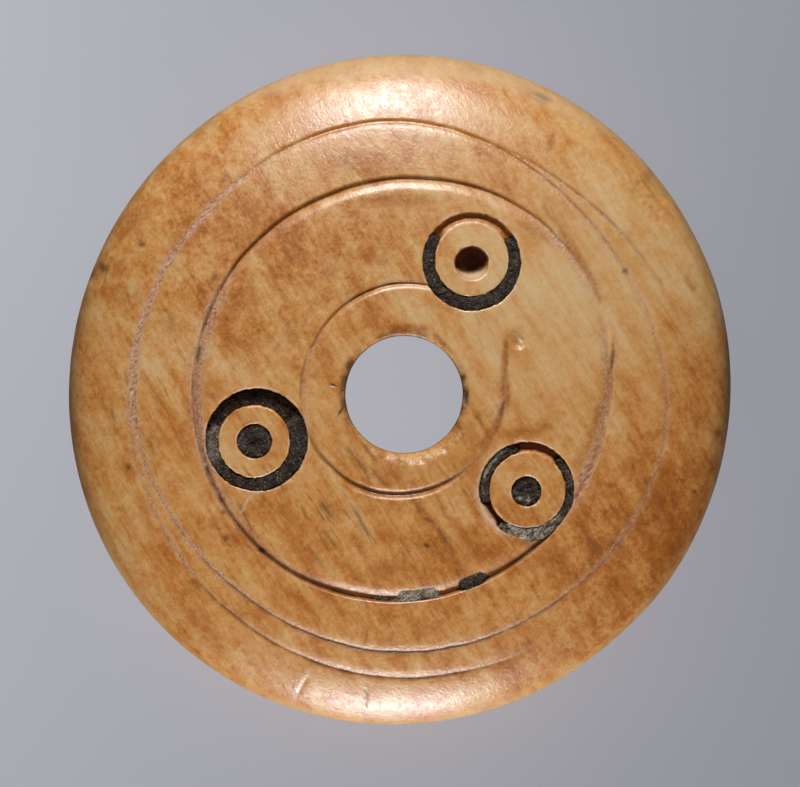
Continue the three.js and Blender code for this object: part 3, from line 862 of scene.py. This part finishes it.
def bone_material():
    """Old polished bone: cream to rust-brown mottling, fibres and dusty cuts, with painted shade: dark
    red-brown in the hollows and amber in the grooves' shaded walls on the top side.
    """
    material, tree, shader = new_material("bone")
    place = millimetres(tree)
    fibre = millimetres(tree, -GRAIN_DIRECTION, (0.12, 1, 0.5))
    hair = speckle(tree, fibre, 7.0, 3, 0.8)
    fine = speckle(tree, place, 3.4, 3, 0.85)
    blotch = speckle(tree, place, 1.1, 3, 0.7, 0.3)
    mottled = mask(tree, "mottle")
    spotty = plus(tree, minus(tree, blotch, 0.5), minus(tree, fine, 0.5))
    spotty = times(tree, spotty, times(tree, mottled, 1.35))
    # the broad tone, partly painted shade at the lower right
    brown = plus(tree, mask(tree, "tone_and_shade"), spotty)
    for source, weight in ((speckle(tree, place, 0.28, 2, 0.5), 0.9),
                           (speckle(tree, fibre, 1.1, 2, 0.6), 1.0),
                           (speckle(tree, fibre, 3.2, 2, 0.7), 0.6), (hair, 0.4), (fine, 0.3)):
        brown = plus(tree, brown, times(tree, minus(tree, source, 0.5), weight))
    ramp = put(tree, "ValToRGB", {"Fac": times(tree, brown, 0.75)})
    ramp.color_ramp.elements.remove(ramp.color_ramp.elements[1])
    for k, (at, colour) in enumerate(BONE_TONES):
        stop = ramp.color_ramp.elements[0] if k == 0 else ramp.color_ramp.elements.new(at)
        stop.position, stop.color = at, (*colour, 1)
    body = ramp.outputs["Color"]
    dusty = mask(tree, "dust")
    grit = speckle(tree, millimetres(tree, -40, (0.4, 1, 1)), 9.0, 2, 0.7)
    rust = stretched(tree, speckle(tree, place, 0.9, 3, 0.75, 0.6), 0.56, 0.68, 0, 0.5)
    strokes = stretched(tree, speckle(tree, fibre, 4.2, 3, 0.6, 0.5), 0.58, 0.70, 0, 0.65)
    crumbs = put(tree, "TexVoronoi", {"Vector": place, "Scale": 4.5})
    pick = put(tree, "SeparateColor", {"Color": crumbs.outputs["Color"]}).outputs[0]
    dots = times(tree, stretched(tree, pick, 0.72, 0.8),
                 stretched(tree, crumbs.outputs["Distance"], 0.12, 0.34, 1, 0))
    for share, colour in (
            (times(tree, rust, mottled), RUST),
            (times(tree, mask(tree, "stain"), stretched(tree, fine, 0.3, 0.6, 0.55, 1)), STAIN),
            (times(tree, strokes, mask(tree, "streak")), FIBRE),
            (times(tree, dusty, stretched(tree, grit, 0.38, 0.54, 0.35, 0.95)), DUST),
            (times(tree, dusty, stretched(tree, grit, 0.37, 0.46, 0.8, 0)), TORN),
            (times(tree, dusty, stretched(tree, grit, 0.56, 0.66, 0, 0.6)), FLECK),
            (times(tree, dots, stretched(tree, dusty, 0.3, 0.8, 0, 0.75)), CRUMB),
            # painted shade in amber
            (times(tree, mask(tree, "amber_shade"), 0.92), AMBER_SHADE),
            (mask(tree, "line"), DARK_BONE),
            # painted shade in the hollows
            (stretched(tree, mask(tree, "hollow_shade"), 0.1, 0.9, 0, 0.92), HOLLOW_SHADE),
            # dirt and chalk, which also carry painted shade and painted light in the upper ring's open dot
            (mask(tree, "dirt_and_shade"), DIRT_AND_SHADE), (mask(tree, "chalk_and_light"), CHALK_AND_LIGHT), (mask(tree, "rim"), RIM)):
        body = mixed(tree, share, body, colour)
    tree.links.new(body, shader.inputs["Base Color"])
    gloss = stretched(tree, speckle(tree, place, 1.8, 3, 0.8), 0.34, 0.66, 0.27, 0.43)
    rough = plus(tree, gloss, times(tree, dusty, 0.08))
    stained = plus(tree, mask(tree, "stain"), plus(tree, mask(tree, "amber_shade"), mask(tree, "line")))
    rough = minus(tree, rough, times(tree, stained, 0.1))
    rough = plus(tree, rough, times(tree, mask(tree, "hollow_shade"), 0.3))
    rough = plus(tree, rough, times(tree, mask(tree, "rim"), 0.3), True)
    tree.links.new(rough, shader.inputs["Roughness"])
    shader.inputs["IOR"].default_value = 1.6
    shader.inputs["Subsurface Weight"].default_value = 0.3
    shader.inputs["Subsurface Radius"].default_value = (1.0, 0.4, 0.12)
    shader.inputs["Subsurface Scale"].default_value = 0.0007
    cracked = times(tree, speckle(tree, place, 5.0, 3, 0.7, 0.8), mask(tree, "lip"))
    skin = stretched(tree, speckle(tree, place, 3.0, 3, 0.6), 0.34, 0.5, 0, 0.35)
    for source, weight in ((hair, 0.7), (fine, 0.35), (cracked, 7.0),
                           (speckle(tree, millimetres(tree, 66, (0.2, 1, 1)), 8.0, 2, 0.6), 1.0),
                           (speckle(tree, millimetres(tree, 28, (0.2, 1, 1)), 7.0, 2, 0.6), 0.6),
                           (times(tree, grit, dusty), 6.8)):
        skin = plus(tree, skin, times(tree, source, weight))
    bump = put(tree, "Bump", {"Height": skin, "Strength": 0.8, "Distance": 0.0000118})
    tree.links.new(bump.outputs[0], shader.inputs["Normal"])
    return material


def paste_material(name, dark, light):
    """Dried paste: a dark matrix with pale grains, partly painted glints, and grey dust where it is worn.
    """
    material, tree, shader = new_material(name)
    place = millimetres(tree)
    grain = put(tree, "TexVoronoi", {"Vector": place, "Scale": 11.0})
    pick = put(tree, "SeparateColor", {"Color": grain.outputs["Color"]}).outputs[0]
    mottle = speckle(tree, place, 3.5, 4, 0.7)
    body = mixed(tree, stretched(tree, mottle, 0.44, 0.64), dark, tuple(4.6 * c for c in dark))
    # Pale grains, partly painted glints on the paste's crumbly top.
    grains_and_glints = times(tree, stretched(tree, pick, 0.8, 0.97, 0, 0.85),
                 stretched(tree, grain.outputs["Distance"], 0.1, 0.5, 1, 0))
    body = mixed(tree, grains_and_glints, body, light)
    threads = speckle(tree, millimetres(tree, -40, (0.3, 1, 1)), 9.0, 3, 0.7)
    worn = times(tree, mask(tree, "pale"), stretched(tree, threads, 0.40, 0.54, 0.1, 1))
    body = mixed(tree, worn, body, (0.38, 0.31, 0.235))
    tree.links.new(body, shader.inputs["Base Color"])
    tree.links.new(stretched(tree, mottle, 0.3, 0.7, 0.45, 0.75), shader.inputs["Roughness"])
    shader.inputs["Specular IOR Level"].default_value = 0.14
    height = plus(tree, plus(tree, mottle, threads), times(tree, grain.outputs["Distance"], 1.2))
    bump = put(tree, "Bump", {"Height": height, "Strength": 1.0, "Distance": 0.00006})
    tree.links.new(bump.outputs[0], shader.inputs["Normal"])
    return material


def floor_material():
    material, tree, shader = new_material("floor_paper")
    paper = speckle(tree, millimetres(tree), 0.02, 3)
    body = mixed(tree, stretched(tree, paper, 0.3, 0.7), (0.25, 0.2535, 0.282), (0.265, 0.2685, 0.297))
    tree.links.new(body, shader.inputs["Base Color"])
    shader.inputs["Roughness"].default_value = 0.9
    shader.inputs["Specular IOR Level"].default_value = 0.1
    return material


# ---------------------------------------------------------------- the view and the light

VIEW_CENTRE = np.array([0.06, -0.20])  # the photograph's middle, beside the middle of the disc
FIELD_WIDTH = 40.9
LENS, SENSOR = 900.0, 36.0  # so long a lens sees the disc almost without perspective
FLOOR_SIDE = 1200


def make_camera():
    data = bpy.data.cameras.new("camera")
    data.lens, data.sensor_width = LENS, SENSOR
    camera = bpy.data.objects.new("camera", data)
    height = FIELD_WIDTH * LENS / SENSOR + 3.0
    camera.location = (VIEW_CENTRE[0] * MM, VIEW_CENTRE[1] * MM, height * MM)
    data.clip_start, data.clip_end = 0.01, 10
    bpy.context.scene.collection.objects.link(camera)
    bpy.context.scene.camera = camera


def area_light(name, azimuth, polar, distance, size, watts, colour, receivers=None, blockers=None):
    """A soft box aimed at the disc. polar is measured from straight up, in degrees."""
    data = bpy.data.lights.new(name, "AREA")
    data.shape = "RECTANGLE"
    data.size, data.size_y = (side * MM for side in size)
    data.energy, data.color = watts, colour
    light = bpy.data.objects.new(name, data)
    a, p = math.radians(azimuth), math.radians(polar)
    away = Vector((math.cos(a) * math.sin(p), math.sin(a) * math.sin(p), math.cos(p)))
    light.location = away * distance * MM + Vector((0, 0, 4 * MM))
    light.rotation_mode = "QUATERNION"
    light.rotation_quaternion = away.to_track_quat("Z", "Y")
    if receivers:
        light.light_linking.receiver_collection = receivers
    if blockers:
        light.light_linking.blocker_collection = blockers
    bpy.context.scene.collection.objects.link(light)
    return light


def soft_patches(base, patches, x, y):
    """A base value with soft round patches added to it: (x, y, size, amount)."""
    return base + sum(amount * np.exp(-((x - px) ** 2 + (y - py) ** 2) / size**2)
                      for px, py, size, amount in patches)


def broad_tone_and_shade(x, y):
    """Where the bone is browner, as broad soft patches: 0 is pale and 1 is brown. Most patches are the
    bone's own tone; the brown patches at the lower right are partly painted shade, where the dome turns
    away from both lamps.
    """
    # The strong brown patch at (12.8, -7.6) is partly the bone's own stain and partly painted shade on the
    # lower right rim.
    patches = ((-8.0, 10.0, 4.5, 0.10), (-4.5, 6.5, 3.5, 0.10), (8.5, 5.0, 6.0, -0.30),
               (12.5, 9.0, 4.0, -0.14), (7.5, -10.5, 5.5, 0.20), (1.0, -8.5, 4.0, 0.10),
               (-9.5, -2.5, 3.5, -0.03), (-12.5, -6.0, 3.5, -0.10), (-12.5, 1.0, 3.0, -0.10),
               (3.0, 2.5, 3.5, -0.12), (0.0, 15.5, 4.0, -0.10), (-3.0, 2.0, 2.5, -0.06),
               (0.5, -15.0, 3.5, 0.06), (10.0, -2.5, 3.0, -0.02), (12.8, -7.6, 4.2, 0.4),
               (1.0, -3.8, 1.2, -0.15), (4.5, -3.0, 1.5, 0.02), (-5.5, -10.0, 4.0, 0.1),
               (-10.0, -6.0, 3.0, 0.1), (15.5, -3.0, 2.5, 0.12),
               (-15.0, -2.5, 3.5, 0.2), (-12.0, -9.0, 3.0, 0.05), (15.5, 1.0, 3.0, 0.08),
               (-13.0, 7.0, 3.0, 0.07))
    tone_and_shade = soft_patches(0.62, patches, x, y)
    for motif in MOTIFS.values():
        reach, _ = local(motif["core"], x, y)
        tone_and_shade = tone_and_shade - 0.1 * smooth((motif["core"][2] - reach) / 0.3)
    return np.clip(tone_and_shade, 0, 1)


def streak_mask(x, y):
    """Where the bone's dark fibres show: the left, the middle and the lower left."""
    patches = ((-9, -1, 5, 0.6), (-5, -6, 4, 0.9), (0, -8.5, 4, 0.9), (-12, -6, 4, 0.5),
               (3, -4, 2.5, 0.6), (4.5, 4, 2, 0.5), (9, -7, 5, 0.35), (-6, 7, 4, 0.35),
               (-2, 5, 2, 0.4), (-14, 2, 3, 0.3))
    return np.clip(soft_patches(0.12, patches, x, y), 0, 1)


def mottle_mask(x, y):
    """Where the bone is mottled: most at the upper left, and least right of the hole."""
    patches = ((-9, 8, 6, 0.4), (-2, 8, 4, 0.2), (11, -9, 5, 0.2), (0, -10, 5, 0.05), (8, 3, 5, -0.25),
               (11, 8, 5, -0.15), (1, 0, 3.5, -0.2), (-10, -3, 4, -0.05))
    return np.clip(soft_patches(0.6, patches, x, y), 0.1, 1)


def rim_mask(x, y, z):
    """The matt pale band round the rim: wide at the top, and thin elsewhere."""
    radius, angle = np.hypot(x, y), np.arctan2(y, x)
    share = radius / disc_radius(angle)
    start = 0.974 - 0.05 * between(angle, 66, 100, 26)
    band = smooth((share + 0.016 * layered_noise(x, y, 1.2, 91) - start) / 0.035)
    return 0.5 * band * smooth((z - 1.0) / 1.5) * (1 - 0.6 * np.cos(angle) ** 2)


def dirt_shade_and_light_masks(x, y, z):
    """Dark dirt and pale chalky wear on the bone, by place, and in the upper ring's open dot painted shade
    in its deep middle and painted light on its lit lower wall.
    """
    radius, angle = np.hypot(x, y), np.arctan2(y, x)
    ragged = smooth(0.55 + layered_noise(x, y, 0.4, 71))
    middle = radius - groove_radius(GROOVES["middle"], angle)
    in_middle = smooth(1.1 - np.abs(middle + 0.03) / 0.15) * ragged
    dirt_and_shade = [stains(DARK_SPOTS, x, y, 79)]
    for strength, start, stop, fade in ((0.9, 169, 181, 4), (0.8, 197, 212, 4), (0.5, 303, 312, 3)):
        dirt_and_shade.append(strength * in_middle * between(angle, start, stop, fade))
    away, turn = local((*HOLE, HOLE_RADIUS), x, y)
    edge = smooth(1.2 - np.abs(away - HOLE_RADIUS - 0.1) / 0.26)
    edge = 0.95 * edge * smooth(0.65 + 1.3 * layered_noise(x, y, 0.4, 73))
    for strength, start, stop in ((1, -16, 34), (0.8, 150, 205), (0.6, 72, 112)):
        dirt_and_shade.append(strength * edge * between(turn, start, stop, 8))
    for name, strength in (("rim nick", 0.85), ("rim notch", 0.7), ("speck", 0.95),
                           ("hole chip left", 0.9), ("hole chip lower left", 0.8),
                           ("hole chip right", 0.8), ("scratch dark", 0.4)):
        dirt_and_shade.append(strength * mark_share(MARKS[name], x, y))
    chalk_and_light = [0.55 * mark_share(MARKS["scratch bright"], x, y),
             0.5 * mark_share(MARKS["scratch pale"], x, y)]
    away, turn = local(MARKS["pit"], x, y)
    pit = smooth(1.2 - away / 0.42) * ragged
    dirt_and_shade.append(0.45 * pit * between(turn, 150, 290, 40))
    chalk_and_light.append(0.5 * pit * between(turn, 300, 420, 30))
    away, turn = local(MOTIFS["right"]["ring"], x, y)
    out = away - MOTIFS["right"]["ring"][2]
    chalk_and_light.append(0.7 * smooth(1.2 - np.abs(out + 0.1) / 0.25) * between(turn, 190, 228, 8))
    crust = smooth(1.2 - np.abs(out - 0.03) / 0.12) * ragged
    chalk_and_light.append(0.7 * crust * between(turn, 118, 235, 10))
    # Painted light: the lit lower wall of the upper ring's open dot is painted pale as chalk. Painted
    # shade: its deep middle is painted dark.
    away, turn = local(MOTIFS["upper"]["dot"], x, y)
    crescent = smooth(1.2 - np.abs(away - MOTIFS["upper"]["dot"][2] + 0.25) / 0.28)
    chalk_and_light.append(0.6 * crescent * between(turn, 215, 330, 20))
    dirt_and_shade.append(0.6 * smooth((0.6 - away) / 0.25))
    chipped = 0.6 * smooth(0.35 + 1.6 * noise(x, y, 0.4, 83))
    for motif in MOTIFS.values():
        for key, out in (("ring", 0.05), ("core", -0.04), ("dot", 0.05)):
            reach, _ = local(motif[key], x, y)
            chalk_and_light.append(chipped * smooth(1.15 - np.abs(reach - motif[key][2] - out) / 0.06))
    keep = z > 2.0
    return np.max(dirt_and_shade, axis=0) * keep, np.max(chalk_and_light, axis=0) * keep


def place_piece(piece, material, node):
    piece.data.materials.append(material)
    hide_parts(node)
    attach(piece, "root")


make_camera()
bone = bone_material()
# the second colour is the pale grains, partly painted glints
pastes = {"black_paste": paste_material("black_paste", (0.011, 0.0062, 0.0038), (0.36, 0.30, 0.24)),
          "grey_paste": paste_material("grey_paste", (0.075, 0.058, 0.040), (0.34, 0.30, 0.23))}

whorl = make_whorl()
points = np.array([v.co for v in whorl.data.vertices]) / MM
flat = points[:, :2].T
dirt_and_shade, chalk_and_light = dirt_shade_and_light_masks(*points.T)
for key, values in (("tone_and_shade", broad_tone_and_shade(*flat)), ("dirt_and_shade", dirt_and_shade), ("chalk_and_light", chalk_and_light),
                    ("streak", streak_mask(*flat)), ("rim", rim_mask(*points.T)),
                    ("mottle", mottle_mask(*flat)),
                    ("stain", stains(RUSTY, *flat, 107) * (points[:, 2] > 1.5))):
    attribute = whorl.data.attributes.new(key, "FLOAT", "POINT")
    attribute.data.foreach_set("value", values.astype(np.float32))
place_piece(whorl, bone, "whorl")

lumps = (
    (ring_paste("paste_ring_upper", "upper", 144, 392, lambda a: 0.05, lambda a, across: 0.12, 101),
     "black_paste", "ring_fill_upper"),
    (ring_paste("paste_ring_left", "left", 0, 360,
                lambda a: 0.09 + 0.36 * between(a, 40, 150, 30),
                lambda a, across: 0.08 + 0.5 * between(a, 165, 200, 12), 131),
     "black_paste", "ring_fill_left"),
    (dot_paste("paste_dot_left", "left", 0.09, lambda a: 0.1 + 0 * a, 151),
     "black_paste", "dot_fill_left"),
    (ring_paste("paste_ring_right_long", "right", 230, 407,
                lambda a: 0.06 + 0.1 * between(a, 330, 400, 20) - 0.05 * between(a, 245, 300, 12),
                lambda a, across: 0.15 + 0.85 * between(a, 236, 312, 14), 171,
                lambda a: 0.16 * between(a, 255, 292, 14)),
     "black_paste", "ring_fill_right_long"),
    (ring_paste("paste_ring_right_short", "right", 101, 200, lambda a: 0.14,
                lambda a, across: 0.1 + 0.9 * smooth(1.3 - np.abs(across - 0.62) / 0.14)
                * between(a, 125, 178, 12), 191),
     "black_paste", "ring_fill_right_short"),
    (dot_paste("paste_dot_right", "right", 0.12, lambda a: 0.1 + 0.9 * between(a, 205, 290, 25), 211),
     "black_paste", "dot_fill_right"),
    (groove_paste("paste_groove_grey", 262.5, 282, lambda a: 0.08 + 0.17 * between(a, 255, 268, 3),
                  lambda a: 1 - 0.9 * between(a, 255, 268, 3), 231),
     "grey_paste", "groove_fill_grey"),
    (groove_paste("paste_groove_black", 286.0, 296.0,
                  lambda a: 0.06 + 0.16 * (1 - between(a, 289, 293, 4)), lambda a: 0.15, 251),
     "black_paste", "groove_fill_black"),
)
for piece, slot, node in lumps:
    place_piece(piece, pastes[slot], node)

side = FLOOR_SIDE / 2
floor = add_mesh("floor", [(-side, -side, 0), (side, -side, 0), (side, side, 0), (-side, side, 0)],
                 [(0, 1, 2, 3)])
floor.data.materials.append(floor_material())
floor.visible_diffuse = floor.visible_glossy = False  # the photographed disc gets no light back from below

scene = bpy.context.scene
on_floor = bpy.data.collections.new("floor_only")
on_object = bpy.data.collections.new("object_only")
on_floor.objects.link(floor)
for thing in list(scene.collection.objects):
    if thing.type == "MESH" and thing is not floor:
        on_object.objects.link(thing)

area_light("top_box", 93.5, 56, 300, (90, 112), 1.12, (0.97, 0.985, 1.0), on_object)
area_light("bottom_box", 269, 81.5, 300, (150, 112), 1.27, (0.97, 0.985, 1.0), on_object)
fill = area_light("fill_box", 90, 0, 350, (600, 600), 0.25, (0.95, 0.97, 1.0), on_object)
fill.visible_glossy = False  # so the dark browns keep their colour
area_light("floor_box", 160, 44, 195, (75, 75), 0.75, (1.0, 1.0, 1.0), on_floor, on_floor)

glow = bpy.data.lights.new("hole_spot", "SPOT")
glow.energy, glow.spot_size, glow.spot_blend = 0.08, 0.17, 0.5
under_hole = bpy.data.objects.new("hole_spot", glow)
under_hole.location = (HOLE[0] * MM, HOLE[1] * MM, 0.1)
under_hole.light_linking.receiver_collection = on_floor
under_hole.light_linking.blocker_collection = on_floor
scene.collection.objects.link(under_hole)

world = bpy.data.worlds.new("studio")
world.use_nodes = True
world.node_tree.nodes["Background"].inputs[0].default_value = (0.9, 0.93, 1.0, 1)
world.node_tree.nodes["Background"].inputs[1].default_value = 0.05
scene.world = world
scene.view_settings.view_transform = "Standard"
